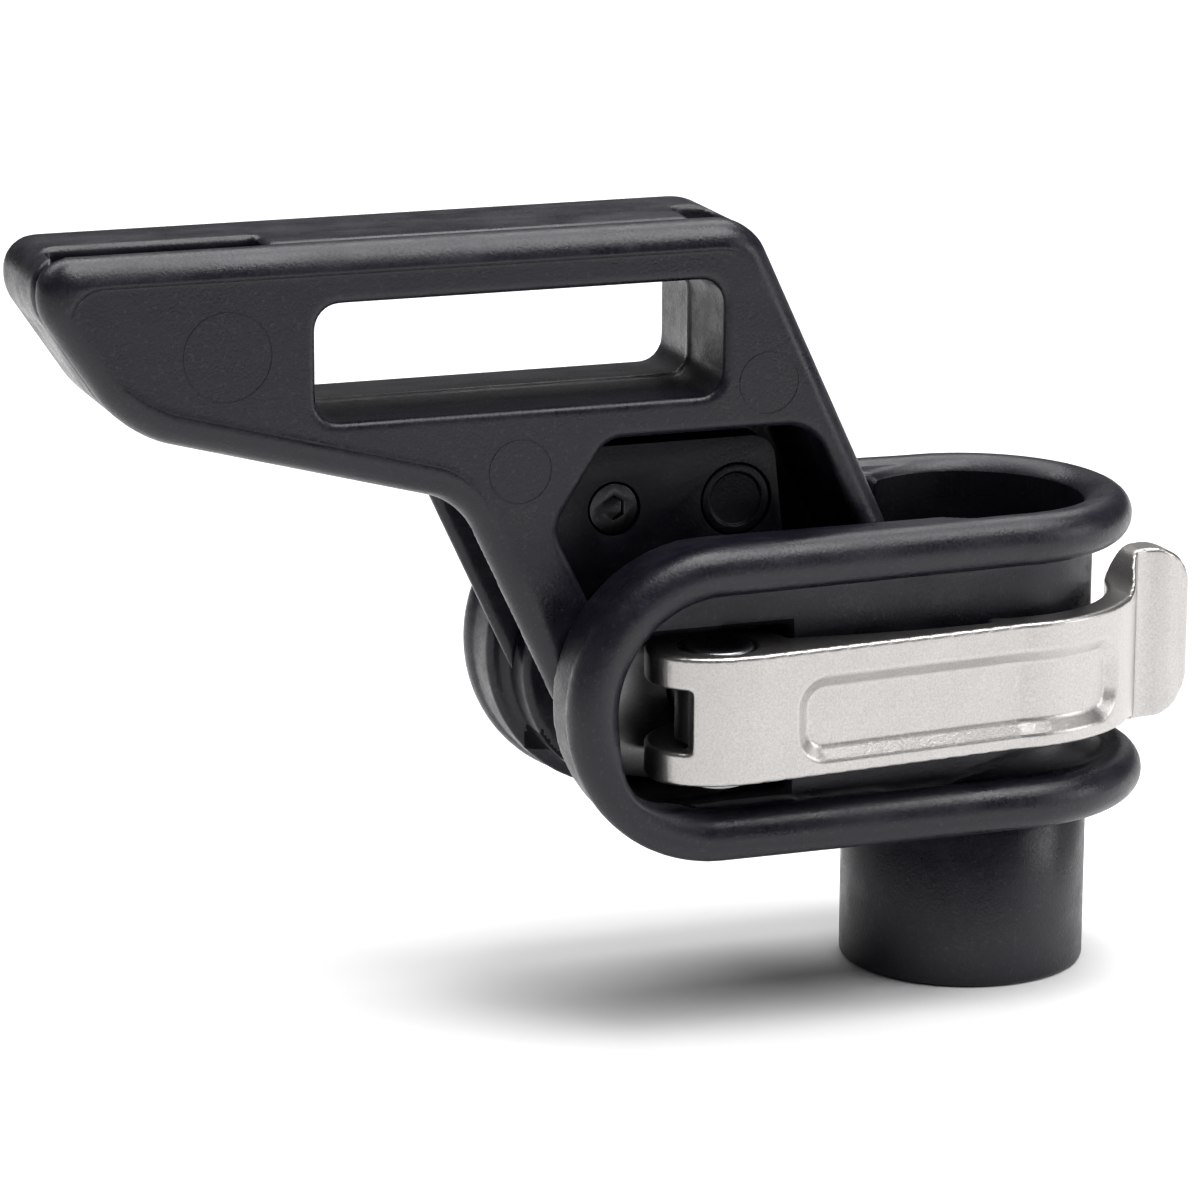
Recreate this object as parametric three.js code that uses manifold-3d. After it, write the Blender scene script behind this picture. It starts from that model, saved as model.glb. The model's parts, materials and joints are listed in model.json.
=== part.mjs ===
// Swivel bracket for an umbrella: a split collar with two ears on a pole socket, a tilting arm between
// the ears, and one cam lever that clamps both. Millimetres, +Z up. The origin is on the socket's axis
// at its lower end, +X points from the ears to the socket, and the lever is on the -Y side.
import * as THREE from "three";
import { mergeVertices } from "three/addons/utils/BufferGeometryUtils.js";
import Module from "manifold-3d";

const wasm = await Module();
wasm.setup();

// ---- driving dimensions ----
const gap = 0.3; // between pieces that touch
const runningGap = 0.6; // between pieces that move past each other

// socket: a stepped sleeve that the collar turns on
const socketHeight = 20.6; // lower end to the shoulder under the collar
const poleBoreRadius = 10.9;
const neckWall = 1.7;
const neckRadius = poleBoreRadius + neckWall;
const socketEdge = 0.8;
const washerThickness = 0.7; // between the shoulder and the collar

// collar
const collarHeight = 36.7;
const collarBottom = socketHeight + washerThickness + 2 * gap;
const collarTop = collarBottom + collarHeight;
const collarBoreRadius = neckRadius + 0.4;
const collarWall = 2;
const collarWallRadius = collarBoreRadius + collarWall;
const socketRadius = collarWallRadius; // flush with the collar
const topRingRadius = collarWallRadius + 1.6; // centre line of the bead round the mouth
const lowRingRadius = collarWallRadius + 3.6; // centre line of the bead round the foot
const beadRadius = 3.1;
const mouthDepth = 10.6; // counterbore that holds the snap ring
const mouthRadius = collarBoreRadius + 0.6;
const ringThickness = 0.8; // snap ring
const ringGrooveDepth = 0.8;
const ringGroovePlay = 0.2; // each side of the ring in its groove

// ears
const rodReach = 24.3; // from the collar's wall to the tilt axis, which is also the tension rod
const rodX = -collarWallRadius - rodReach;
const rodDrop = 1.05; // from the collar's middle down to the tilt axis
const rodZ = (collarBottom + collarTop) / 2 - rodDrop;
const earRadius = 18.3;
const armHalf = 11; // half the arm's thickness
const earInner = armHalf + runningGap; // inner faces, either side of the arm
const earWall = 4.8;
const earOuter = earInner + earWall; // flat face inside the bead
const earBeadY = earOuter + 2.4; // centre line of the bead along the ear
const bossRadius = 15.9;
const discThickness = 0.7; // friction discs, either side of the arm's hub
const hubWeb = 4.2; // half the thickness between the bosses
const bossInner = hubWeb + discThickness + 0.7;
const windowWidth = 22.6; // opening for the cam head
const windowTop = 9.1; // above the tilt axis
const windowBottom = 10.9; // below it
const windowLeft = 13; // from the tilt axis

// arm, measured from the tilt axis
const armLeft = 78;
const armTop = 56.3;
const armHub = 15.3;
const armToe = 24.9;
const armPlate = 4.2;
const armEdge = 3.2; // rounding of the outer edges
const slabInset = 0.4; // the web and the rear plate lie this far inside the front plate's outline
const slitLength = 24; // pocket behind the front plate at the tip
const slitWidth = 4.6;
const neckLean = THREE.MathUtils.degToRad(25);
const undersideSlope = THREE.MathUtils.degToRad(15);
const tipDepth = 20.6; // top face down to where the tip's slope meets the underside
const slotLength = 49.7;
const slotHeight = 13.9;
const slotLeft = 46.5;
const slotBottom = 35.8;
const railWidth = 4.4;
const windowEdgeTop = 31.4;
const hubDisc = 12.5;

// cam lever, measured from its pin
const camRadius = 8.7;
const camOffset = 0.3; // eccentricity: 2 x this is the clamping travel
const saddleThickness = 0.8; // wear plate on the front boss's floor, which the cam bears on
const pinY = -earOuter - 1;
const bossFloor = -pinY - camRadius - camOffset - saddleThickness - 2 * gap - bossInner;
const pinRadius = 2;
const pinHeadRadius = 4.3;
const leverHeight = 15.5;
const leverFace = 6.3; // pin to the front face at the head
const headFlat = 1; // the face is flat from here on, and curves back to the head's end
const leverThick = 3.6; // at the cam and where it wraps the collar
const leverStandoff = 1.8; // from the collar's wall to the lever's back
const leverWrap = collarWallRadius + leverStandoff + leverThick; // outer radius round the collar
const leverThin = 2.4;
const tabHeight = 21.5;
const tabLength = 9.2;
const tabReach = leverWrap + tabLength; // from the socket's axis
const panelDepth = 0.7;
const notchHeight = 7.5;

// tension rod and what is on it
const rodRadius = 2.5;
const rodHoleRadius = rodRadius + 0.35;
const eyeRadius = 5;
const nutFlats = 10;
const nutThickness = 5;
const nutWasherRadius = 6;
const nutWasherThickness = 1;
const lockWasherThickness = 0.9;
const springWire = 0.9;

// ---- materials ----
const nylon = new THREE.MeshStandardMaterial({ color: 0x1d1d1f, roughness: 0.55, metalness: 0 });
const alloy = new THREE.MeshStandardMaterial({ color: 0xc6c4c0, roughness: 0.35, metalness: 1 });
const steel = new THREE.MeshStandardMaterial({ color: 0x6f7073, roughness: 0.4, metalness: 1 });
const acetal = new THREE.MeshStandardMaterial({ color: 0x2b2b2c, roughness: 0.4, metalness: 0 });
const bronze = new THREE.MeshStandardMaterial({ color: 0x8a6a3a, roughness: 0.45, metalness: 1 });

// ---- solids ----
function solid(geometry) {
  const bare = geometry.index ? geometry.toNonIndexed() : geometry.clone();
  bare.deleteAttribute("normal");
  bare.deleteAttribute("uv");
  const merged = mergeVertices(bare, 1e-4);
  return new wasm.Manifold(
    new wasm.Mesh({
      numProp: 3,
      vertProperties: new Float32Array(merged.attributes.position.array),
      triVerts: new Uint32Array(merged.index.array),
    }),
  );
}

function mesh(name, body, material) {
  const made = body.getMesh();
  const geometry = new THREE.BufferGeometry();
  geometry.setAttribute("position", new THREE.BufferAttribute(made.vertProperties, 3));
  geometry.setIndex(new THREE.BufferAttribute(made.triVerts, 1));
  const object = new THREE.Mesh(geometry, material);
  object.name = name;
  return object;
}

// An outline through corners [x, y, radius], each rounded by an arc of its radius.
function roundedOutline(corners, pieces = 6) {
  const points = [];
  corners.forEach(([x, y, radius], i) => {
    const corner = new THREE.Vector2(x, y);
    const before = corners[(i + corners.length - 1) % corners.length];
    const after = corners[(i + 1) % corners.length];
    if (!radius) {
      points.push(corner);
      return;
    }
    const toBefore = new THREE.Vector2(before[0], before[1]).sub(corner).normalize();
    const toAfter = new THREE.Vector2(after[0], after[1]).sub(corner).normalize();
    const half = Math.acos(THREE.MathUtils.clamp(toBefore.dot(toAfter), -1, 1)) / 2;
    const middle = toBefore.clone().add(toAfter).normalize();
    const centre = corner.clone().addScaledVector(middle, radius / Math.sin(half));
    const start = corner.clone().addScaledVector(toBefore, radius / Math.tan(half)).sub(centre);
    const end = corner.clone().addScaledVector(toAfter, radius / Math.tan(half)).sub(centre);
    let turn = end.angle() - start.angle();
    if (turn > Math.PI) turn -= 2 * Math.PI;
    if (turn < -Math.PI) turn += 2 * Math.PI;
    for (let k = 0; k <= pieces; k++) {
      const angle = start.angle() + (turn * k) / pieces;
      points.push(new THREE.Vector2(Math.cos(angle), Math.sin(angle)).multiplyScalar(radius).add(centre));
    }
  });
  return new THREE.Shape(points);
}

// A plan outline (x, y) raised from one height to another.
function raised(shape, low, high) {
  const settings = { depth: high - low, bevelEnabled: false, curveSegments: 24 };
  return solid(new THREE.ExtrudeGeometry(shape, settings).translate(0, 0, low));
}

// A side outline (x, z) carried across from one y to another, with its outer edges rounded by edge.
function across(shape, near, far, edge = 0) {
  const geometry = new THREE.ExtrudeGeometry(shape, {
    depth: far - near - 2 * edge,
    bevelEnabled: edge > 0,
    bevelSize: edge,
    bevelThickness: edge,
    bevelOffset: -edge,
    bevelSegments: 4,
    curveSegments: 24,
  });
  return solid(geometry.rotateX(Math.PI / 2).translate(0, far - edge, 0));
}

function upright(radius, low, high, sides = 48) {
  const geometry = new THREE.CylinderGeometry(radius, radius, high - low, sides);
  return solid(geometry.rotateX(Math.PI / 2).translate(0, 0, (low + high) / 2));
}

function crosswise(radius, near, far, sides = 48) {
  const geometry = new THREE.CylinderGeometry(radius, radius, far - near, sides);
  return solid(geometry.translate(0, (near + far) / 2, 0));
}

function block(x0, x1, y0, y1, z0, z1) {
  const geometry = new THREE.BoxGeometry(x1 - x0, y1 - y0, z1 - z0);
  return solid(geometry.translate((x0 + x1) / 2, (y0 + y1) / 2, (z0 + z1) / 2));
}

function turned(profile, sides = 48) {
  const points = profile.map(([radius, height]) => new THREE.Vector2(radius, height));
  points.push(points[0].clone());
  return solid(new THREE.LatheGeometry(points, sides).rotateX(Math.PI / 2));
}

// ---- socket, which the pole goes into ----
const mouthFloor = collarTop - mouthDepth;
const snapRingLow = mouthFloor + gap;
const snapRingHigh = snapRingLow + ringThickness;
const neckTop = snapRingHigh + 1.1;
const ringGrooveRadius = neckRadius - ringGrooveDepth;

function socketTube() {
  return turned([
    [poleBoreRadius, 0],
    [socketRadius - socketEdge, 0],
    [socketRadius - 0.3 * socketEdge, 0.3 * socketEdge],
    [socketRadius, socketEdge],
    [socketRadius, socketHeight],
    [neckRadius, socketHeight],
    [neckRadius, snapRingLow - ringGroovePlay],
    [ringGrooveRadius, snapRingLow - ringGroovePlay],
    [ringGrooveRadius, snapRingHigh + ringGroovePlay],
    [neckRadius, snapRingHigh + ringGroovePlay],
    [neckRadius, neckTop],
    [poleBoreRadius, neckTop],
  ]);
}

function snapRing() {
  const inner = ringGrooveRadius + gap;
  const outer = mouthRadius - gap;
  const splitHalf = 3;
  const ring = turned([
    [inner, snapRingLow],
    [outer, snapRingLow],
    [outer, snapRingHigh],
    [inner, snapRingHigh],
  ]);
  return ring.subtract(block(-2 * neckRadius, 0, -splitHalf, splitHalf, 0, collarTop));
}

function thrustWasher() {
  const low = socketHeight + gap;
  const outer = socketRadius - socketEdge;
  return turned([
    [neckRadius + gap, low],
    [outer, low],
    [outer, low + washerThickness],
    [neckRadius + gap, low + washerThickness],
  ]);
}

// ---- collar with its two ears ----
const earMiddle = (collarTop + collarBottom) / 2;
const beadProud = 0.6; // how far the bead stands out of the ears' edge
const beadLoopRadius = (collarTop - collarBottom) / 2 - (beadRadius - beadProud);

// Half of the bead that edges the collar: round the mouth, along the top of one ear, round its end,
// back along its foot and round the foot of the socket.
class HalfBead extends THREE.Curve {
  constructor(side) {
    super();
    const places = [
      ...ringQuarter(topRingRadius, earMiddle + beadLoopRadius),
      ...earEnd(),
      ...ringQuarter(lowRingRadius, earMiddle - beadLoopRadius).reverse(),
    ];
    const points = places.map(([x, y, z]) => new THREE.Vector3(x, side * y, z));
    this.path = new THREE.CatmullRomCurve3(points, false, "centripetal");
  }
  getPoint(t) {
    return this.path.getPoint(t);
  }
}

// From just past the middle of the ring, round to where the line to the ear leaves it.
function ringQuarter(radius, z) {
  const steps = 16;
  const last = Math.PI / 2 + Math.asin((earBeadY - radius) / -rodX);
  const places = [];
  for (let k = -1; k <= steps; k++) {
    const angle = (last * k) / steps;
    places.push([radius * Math.cos(angle), radius * Math.sin(angle), z]);
  }
  return places;
}

function earEnd() {
  const steps = 14;
  const places = [];
  for (let k = 0; k <= steps; k++) {
    const angle = (Math.PI * k) / steps;
    const back = beadLoopRadius * Math.sin(angle);
    places.push([rodX - back, earBeadY, earMiddle + beadLoopRadius * Math.cos(angle)]);
  }
  return places;
}

function bead(side) {
  const section = new THREE.Shape().absarc(0, 0, beadRadius, 0, 2 * Math.PI);
  const geometry = new THREE.ExtrudeGeometry(section, {
    extrudePath: new HalfBead(side),
    steps: 60,
    curveSegments: 5,
    bevelEnabled: false,
  });
  return solid(geometry);
}

// The cam head's opening, as an outline about the tilt axis.
function camWindow(inset = 0) {
  const right = windowWidth - windowLeft - inset;
  const left = -windowLeft + inset;
  const top = windowTop - inset;
  const low = -windowBottom + inset;
  return roundedOutline([[left, top, 7], [left, low, 7], [right, low, 1], [right, top, 1]], 4);
}

function collar() {
  const lean = Math.asin((earOuter - collarWallRadius) / -rodX);
  const tangent = Math.PI / 2 + lean;
  const plan = new THREE.Shape();
  plan.moveTo(rodX - 1.5 * earRadius, earOuter);
  plan.lineTo(rodX - 1.5 * earRadius, -earOuter);
  plan.lineTo(rodX, -earOuter);
  plan.absarc(0, 0, collarWallRadius, -tangent, tangent, false);
  plan.lineTo(rodX, earOuter);
  const sideOutline = new THREE.Shape();
  const halfHeight = (collarTop - collarBottom) / 2;
  sideOutline.moveTo(2 * socketRadius, collarBottom);
  sideOutline.lineTo(2 * socketRadius, collarTop);
  sideOutline.lineTo(rodX, collarTop);
  sideOutline.absarc(rodX, earMiddle, halfHeight, Math.PI / 2, 1.5 * Math.PI, false);
  let body = raised(plan, collarBottom, collarTop);
  body = body.intersect(across(sideOutline, -2 * earOuter, 2 * earOuter));
  body = body.add(turned([
    [collarWallRadius - 1, collarBottom],
    [lowRingRadius, collarBottom + 0.8],
    [lowRingRadius, collarBottom + 4.4],
    [collarWallRadius - 1, collarBottom + 6],
  ]));
  body = body.add(bead(-1)).add(bead(1));
  body = body.subtract(block(-4 * earRadius, 0, -earInner, earInner, 0, 2 * collarTop));
  body = body.subtract(upright(collarBoreRadius, 0, 2 * collarTop));
  body = body.subtract(upright(mouthRadius, mouthFloor, 2 * collarTop)).subtract(mouthFunnel());
  return body.add(earBoss(-1)).add(earBoss(1)).subtract(earCup(-1)).subtract(earCup(1)).subtract(rodHole());
}

// Everything above the inner side of the bead round the mouth, so that the bead rolls into the bore.
function mouthFunnel() {
  const centreZ = earMiddle + beadLoopRadius;
  const steps = 8;
  const profile = [[0, centreZ]];
  for (let k = 0; k <= steps; k++) {
    const angle = Math.PI - (Math.PI / 2) * (k / steps);
    profile.push([topRingRadius + beadRadius * Math.cos(angle), centreZ + beadRadius * Math.sin(angle)]);
  }
  profile.push([topRingRadius, 2 * collarTop], [0, 2 * collarTop]);
  return turned(profile);
}

function onTiltAxis(body) {
  return body.translate([rodX, 0, rodZ]);
}

function span(side, inner, outer) {
  return side < 0 ? [-outer, -inner] : [inner, outer];
}

function earBoss(side) {
  return onTiltAxis(crosswise(bossRadius, ...span(side, bossInner, earInner + 1)));
}

function earCup(side) {
  const reach = span(side, bossInner + bossFloor, 2 * earOuter);
  return onTiltAxis(across(camWindow(), ...reach));
}

function rodHole() {
  return onTiltAxis(crosswise(rodHoleRadius, -earOuter, earOuter, 32));
}

// ---- what the tension rod holds together ----
const saddleNear = bossInner + bossFloor + gap; // distances from the middle plane
const lockWasherNear = saddleNear + nutWasherThickness + gap;
const nutNear = lockWasherNear + lockWasherThickness + gap;

function tensionRod() {
  const rod = crosswise(rodRadius, pinY, nutNear + nutThickness + 1.6, 24);
  const eye = upright(eyeRadius, -notchHeight / 2 + 0.4, notchHeight / 2 - 0.4, 32).translate([0, pinY, 0]);
  const pinHole = upright(pinRadius + 0.3, -notchHeight, notchHeight, 24).translate([0, pinY, 0]);
  return rod.add(eye).subtract(pinHole);
}

function camSaddle() {
  const plate = across(camWindow(0.5), -saddleNear - saddleThickness, -saddleNear);
  return plate.subtract(rodClearance());
}

function rodClearance() {
  return crosswise(rodRadius + gap, -2 * earOuter, 2 * earOuter, 24);
}

function rearWasher() {
  const far = saddleNear + nutWasherThickness;
  return crosswise(nutWasherRadius, saddleNear, far, 32).subtract(rodClearance());
}

// A split spring washer under the nut.
function lockWasher() {
  const far = lockWasherNear + lockWasherThickness;
  const split = block(0, 2 * nutWasherRadius, 0, 2 * earOuter, -0.5, 0.5);
  return crosswise(nutWasherRadius - 1.2, lockWasherNear, far, 32).subtract(rodClearance()).subtract(split);
}

function rearNut() {
  const corner = nutFlats / Math.sqrt(3);
  return crosswise(corner, nutNear, nutNear + nutThickness, 6).subtract(rodClearance());
}

function frictionDisc(side) {
  const reach = span(side, bossInner - gap - discThickness, bossInner - gap);
  return crosswise(hubDisc - 1, ...reach).subtract(crosswise(bushInner + 0.6, ...span(side, 0, earOuter)));
}

function releaseSpring() {
  const turns = 5;
  const radius = (rodRadius + 6) / 2 + 0.1;
  const length = 2 * (bossInner - springWire / 2 - gap);
  class Coil extends THREE.Curve {
    getPoint(t) {
      const angle = 2 * Math.PI * turns * t;
      return new THREE.Vector3(radius * Math.cos(angle), length * (t - 0.5), radius * Math.sin(angle));
    }
  }
  const wire = new THREE.Shape().absarc(0, 0, springWire / 2, 0, 2 * Math.PI);
  const geometry = new THREE.ExtrudeGeometry(wire, {
    extrudePath: new Coil(),
    steps: 12 * turns,
    curveSegments: 3,
    bevelEnabled: false,
  });
  return solid(geometry);
}

// ---- cam lever, about its pin: +X runs along the lever ----
function leverOutline() {
  const axis = new THREE.Vector2(-rodX, -pinY); // the socket's axis seen from the pin
  const polar = (radius, degrees) => {
    const a = THREE.MathUtils.degToRad(degrees);
    return new THREE.Vector2(radius * Math.cos(a), radius * Math.sin(a)).add(axis);
  };
  const inner = leverWrap - leverThick;
  const tabX = tabReach + axis.x;
  const shape = new THREE.Shape();
  shape.moveTo(3, -leverFace);
  shape.lineTo(polar(leverWrap, -94).x, polar(leverWrap, -94).y);
  for (let d = -86; d <= -26; d += 10) shape.lineTo(polar(leverWrap, d).x, polar(leverWrap, d).y);
  const foot = polar(leverWrap, -18);
  const curl = new THREE.Vector2(tabX - 5.2, axis.y - 2.6);
  const valley = new THREE.Vector2(foot.x + 1.9, axis.y - 2.9);
  shape.quadraticCurveTo(foot.x, foot.y, valley.x, valley.y);
  shape.quadraticCurveTo(valley.x + 1.3, valley.y + 0.6, curl.x, curl.y);
  shape.quadraticCurveTo(tabX - 2.6, curl.y - 0.2, tabX - 1.5, axis.y - 1.5);
  shape.absarc(tabX - 1.5, axis.y, 1.5, -Math.PI / 2, Math.PI / 2, false);
  shape.lineTo(curl.x, axis.y + 1.6);
  shape.quadraticCurveTo(foot.x - 0.6, axis.y + 1.2, polar(inner, -14).x, polar(inner, -14).y);
  for (let d = -24; d >= -104; d -= 10) shape.lineTo(polar(inner, d).x, polar(inner, d).y);
  const pad = polar(inner, -106);
  shape.lineTo(pad.x - 0.4, pad.y - 2.0);
  shape.quadraticCurveTo(22, -leverFace + 2.6 + leverThin, 9, 0.5);
  shape.absarc(camOffset, camOffset, camRadius, 0, Math.PI, false);
  shape.absellipse(headFlat, 0, headFlat - camOffset + camRadius, leverFace, Math.PI, 1.5 * Math.PI, false);
  return shape;
}

// The lever seen from its front: a strip that flares to the round thumb tab.
function leverSide() {
  const half = leverHeight / 2;
  const tall = tabHeight / 2;
  const right = tabReach - rodX;
  const flareStart = leverWrap - rodX - 2.2;
  const flareEnd = flareStart + 2.8;
  return roundedOutline([
    [-20, -half, 0],
    [flareStart, -half, 3],
    [flareEnd, -tall, 1.5],
    [right, -tall, 7.5],
    [right, tall, 7.5],
    [flareEnd, tall, 1.5],
    [flareStart, half, 3],
    [-20, half, 0],
  ]);
}

function camLever() {
  const half = leverHeight / 2;
  const notch = notchHeight / 2;
  const wide = raised(leverOutline(), -tabHeight, tabHeight);
  let lever = wide.intersect(across(leverSide(), -40, 60));
  // The rod's eye sits in a notch that runs round the head from its back to its end.
  lever = lever.subtract(upright(eyeRadius + 0.5, -notch, notch, 32));
  lever = lever.subtract(block(-20, -eyeRadius + 0.2, -20, 20, -notch, notch));
  lever = lever.subtract(block(-20, rodRadius + 1, 0, 20, -notch, notch));
  lever = lever.subtract(upright(pinRadius + 0.3, -half - 1, half + 1, 24));
  lever = lever.subtract(upright(pinHeadRadius + 0.3, half - 1.1, half + 1, 32));
  return lever.subtract(pressedPanel());
}

// A shallow panel pressed into the lever's front face.
function pressedPanel() {
  const axis = new THREE.Vector2(-rodX, -pinY);
  const low = -leverHeight / 2 + 1.9;
  const high = low + 10;
  const left = 8.8;
  const right = -rodX + 12;
  const along = (radius, straightY) => {
    const points = [new THREE.Vector2(left - 0.3, straightY)];
    for (let d = -94; d <= -50; d += 8) {
      const a = THREE.MathUtils.degToRad(d);
      points.push(new THREE.Vector2(radius * Math.cos(a), radius * Math.sin(a)).add(axis));
    }
    return points;
  };
  const floor = along(leverWrap - panelDepth, -leverFace + panelDepth);
  const outside = along(leverWrap + 2, -leverFace - 2).reverse();
  const plan = new THREE.Shape([...floor, ...outside]);
  const corner = 3.4;
  const face = roundedOutline([
    [left, low, corner],
    [right, low, corner],
    [right, high, corner],
    [left, high, corner],
  ]);
  return raised(plan, low, high).intersect(across(face, -40, 60));
}

function leverPin() {
  const half = leverHeight / 2;
  const head = upright(pinHeadRadius, half - 0.8, half + 0.1, 32);
  const groove = upright(pinRadius + 1, -half - 1.1, -half - 0.3, 24);
  const core = upright(pinRadius - 0.5, -half - 1.2, -half - 0.2, 24);
  return upright(pinRadius, -half - 1.7, half, 24).subtract(groove).add(core).add(head);
}

function pinClip() {
  const half = leverHeight / 2;
  const hole = upright(pinRadius - 0.2, -half - 2, 0, 24);
  const clip = upright(3.6, -half - 0.95, -half - 0.4, 32).subtract(hole);
  return clip.subtract(block(0, 10, -0.9, 0.9, -half - 2, 0));
}

// ---- arm, about the tilt axis ----
function armOutline(inset = 0) {
  const lean = Math.tan(neckLean);
  const slope = Math.tan(undersideSlope);
  const rightAt = (z) => armToe + (18.3 - z) * lean;
  const left = -armLeft + inset;
  const top = armTop - inset;
  const tipX = left + 9.6;
  const tipZ = armTop - tipDepth + inset;
  const leftAt = (z) => -armHub / Math.cos(neckLean) - z * lean;
  const neckX = (-armHub / Math.cos(neckLean) - lean * (tipZ + slope * tipX)) / (1 - lean * slope);
  const neckZ = tipZ - slope * (neckX - tipX);
  return roundedOutline([
    [left, top, 3.8],
    [rightAt(top), top, 6.3],
    [armToe, 18.3, 4],
    [armToe, -armHub, 18],
    [leftAt(-armHub), -armHub, armHub],
    [neckX, neckZ, 8],
    [tipX, tipZ, 14],
    [left, top - 6, 5],
  ]);
}

function swivelArm() {
  const inner = armHalf - armPlate;
  const railBack = -armHalf + railWidth;
  const frontPlate = across(armOutline(), -armHalf, armHalf, armEdge)
    .subtract(block(-2 * armLeft, 2 * armLeft, railBack, 2 * armHalf, -2 * armTop, 2 * armTop));
  let arm = across(armOutline(slabInset), -armHalf, armHalf, armEdge).add(frontPlate);
  arm = arm.subtract(strapSlot()).subtract(neckHollow(inner)).subtract(armWindow(inner));
  for (const side of [-1, 1]) {
    arm = arm.subtract(crosswise(bossRadius + runningGap, ...span(side, hubWeb - 1, 2 * armHalf)));
  }
  return arm.subtract(topHollows(railBack)).subtract(fixingHoles(0));
}

function strapSlot() {
  const right = slotLength - slotLeft;
  const top = slotBottom + slotHeight;
  const outline = roundedOutline([
    [-slotLeft, slotBottom, 2.8],
    [right, slotBottom, 2.8],
    [right, top, 2.8],
    [-slotLeft, top, 2.8],
  ]);
  return across(outline, -2 * armHalf, 2 * armHalf);
}

// The space between the two plates of the neck, open to the left and below.
function neckHollow(inner) {
  const wall = armToe - 2.8;
  const outline = roundedOutline([
    [-42, 20, 0],
    [-33, 27, 0],
    [-20, windowEdgeTop, 4],
    [wall - 7.6, windowEdgeTop, 4],
    [wall, 14, 2],
    [wall, -40, 0],
    [-42, -40, 0],
  ]);
  return across(outline, -inner, inner);
}

// The opening in the front plate, over the hub core.
function armWindow(inner) {
  const outline = roundedOutline([
    [-11.4, windowEdgeTop + 0.2, 3],
    [14.6, windowEdgeTop + 0.2, 5],
    [23, 12.5, 2],
    [19, 4, 2],
    [-9.5, 4, 1],
    [-17.9, 21.4, 4],
  ]);
  return across(outline, -2 * armHalf, -inner + 0.5);
}

// Along the top, a deep slit behind the front plate at the tip, and a small pocket at the other end.
function topHollows(railBack) {
  const slitLeft = -armLeft + 2.6;
  const slitRight = slitLeft + slitLength;
  const slit = new THREE.Shape([
    new THREE.Vector2(slitLeft, armTop - 4.5),
    new THREE.Vector2(slitRight, armTop - 8.5),
    new THREE.Vector2(slitRight, 2 * armTop),
    new THREE.Vector2(slitLeft, 2 * armTop),
  ]);
  const pocket = block(0.8, 5.6, railBack, 1.2, armTop - 2.4, 2 * armTop);
  return across(slit, railBack, railBack + slitWidth).add(pocket);
}

// ---- hub core and its fixings, inside the arm ----
const screwX = -8.9;
const dowelX = 6.4;
const fixingZ = 22.2;
const coreHalf = armHalf - armPlate - 0.4;
const screwHoleRadius = 1.9;
const screwHeadRadius = 3;
const screwSink = 1.8; // counterbore for the head
const dowelHoleRadius = 4.5;
const fixingFloor = armHalf - 1.4; // blind ends of both holes, in the rear plate
const hubBore = 6.9;
const bushOuter = hubBore - gap;
const bushInner = 5.7;

function hubCore() {
  const outline = roundedOutline([
    [-16.6, 29.8, 3],
    [11, 29.8, 3],
    [13, 12, 2],
    [hubDisc, 2, 0],
    [hubDisc, -hubDisc, hubDisc],
    [-hubDisc, -hubDisc, hubDisc],
    [-hubDisc, 2, 0],
    [-17, 16, 4],
  ]);
  let core = across(outline, -coreHalf, coreHalf);
  for (const side of [-1, 1]) {
    core = core.subtract(crosswise(bossRadius + 1, ...span(side, hubWeb, armHalf)));
  }
  const counterbore = crosswise(screwHeadRadius + gap, -armHalf, -coreHalf + screwSink, 32);
  core = core.subtract(crosswise(hubBore, -armHalf, armHalf, 40));
  core = core.subtract(counterbore.translate([screwX, 0, fixingZ]));
  return core.subtract(fixingHoles(-armHalf));
}

function fixingHoles(near) {
  const screw = crosswise(screwHoleRadius, near, fixingFloor, 20).translate([screwX, 0, fixingZ]);
  const dowel = crosswise(dowelHoleRadius, near, fixingFloor, 32).translate([dowelX, 0, fixingZ]);
  return screw.add(dowel);
}

function coreScrew() {
  const face = -coreHalf;
  const head = crosswise(screwHeadRadius, face + 0.2, face + screwSink - gap, 32);
  const shank = crosswise(screwHoleRadius - gap, face + 1, fixingFloor - gap, 20);
  const socket = crosswise(1.45, face - 1, face + 1.1, 6);
  return head.add(shank).subtract(socket).translate([screwX, 0, fixingZ]);
}

function coreDowel() {
  const body = crosswise(dowelHoleRadius - gap, -coreHalf + 0.1, fixingFloor - gap, 32);
  const dish = crosswise(dowelHoleRadius - 1.3, -armHalf, -coreHalf + 0.5, 32);
  return body.subtract(dish).translate([dowelX, 0, fixingZ]);
}

function pivotBush() {
  return crosswise(bushOuter, -hubWeb, hubWeb, 40).subtract(crosswise(bushInner, -armHalf, armHalf, 40));
}

// ---- assembly ----
const bracket = new THREE.Group();
bracket.add(mesh("socket_tube", socketTube(), nylon));
bracket.add(mesh("socket_snap_ring", snapRing(), steel));
bracket.add(mesh("thrust_washer", thrustWasher(), acetal));
bracket.add(mesh("clamp_collar", collar(), nylon));

const clamp = new THREE.Group();
clamp.position.set(rodX, 0, rodZ);
clamp.add(mesh("tension_rod", tensionRod(), steel));
clamp.add(mesh("cam_saddle", camSaddle(), steel));
clamp.add(mesh("rear_washer", rearWasher(), steel));
clamp.add(mesh("nut_lock_washer", lockWasher(), steel));
clamp.add(mesh("rear_lock_nut", rearNut(), steel));
clamp.add(mesh("front_friction_disc", frictionDisc(-1), acetal));
clamp.add(mesh("rear_friction_disc", frictionDisc(1), acetal));
clamp.add(mesh("release_spring", releaseSpring(), steel));
bracket.add(clamp);

const lever = new THREE.Group();
lever.position.set(rodX, pinY, rodZ);
lever.add(mesh("cam_lever", camLever(), alloy));
lever.add(mesh("lever_pin", leverPin(), steel));
lever.add(mesh("pin_clip", pinClip(), steel));
bracket.add(lever);

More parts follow.
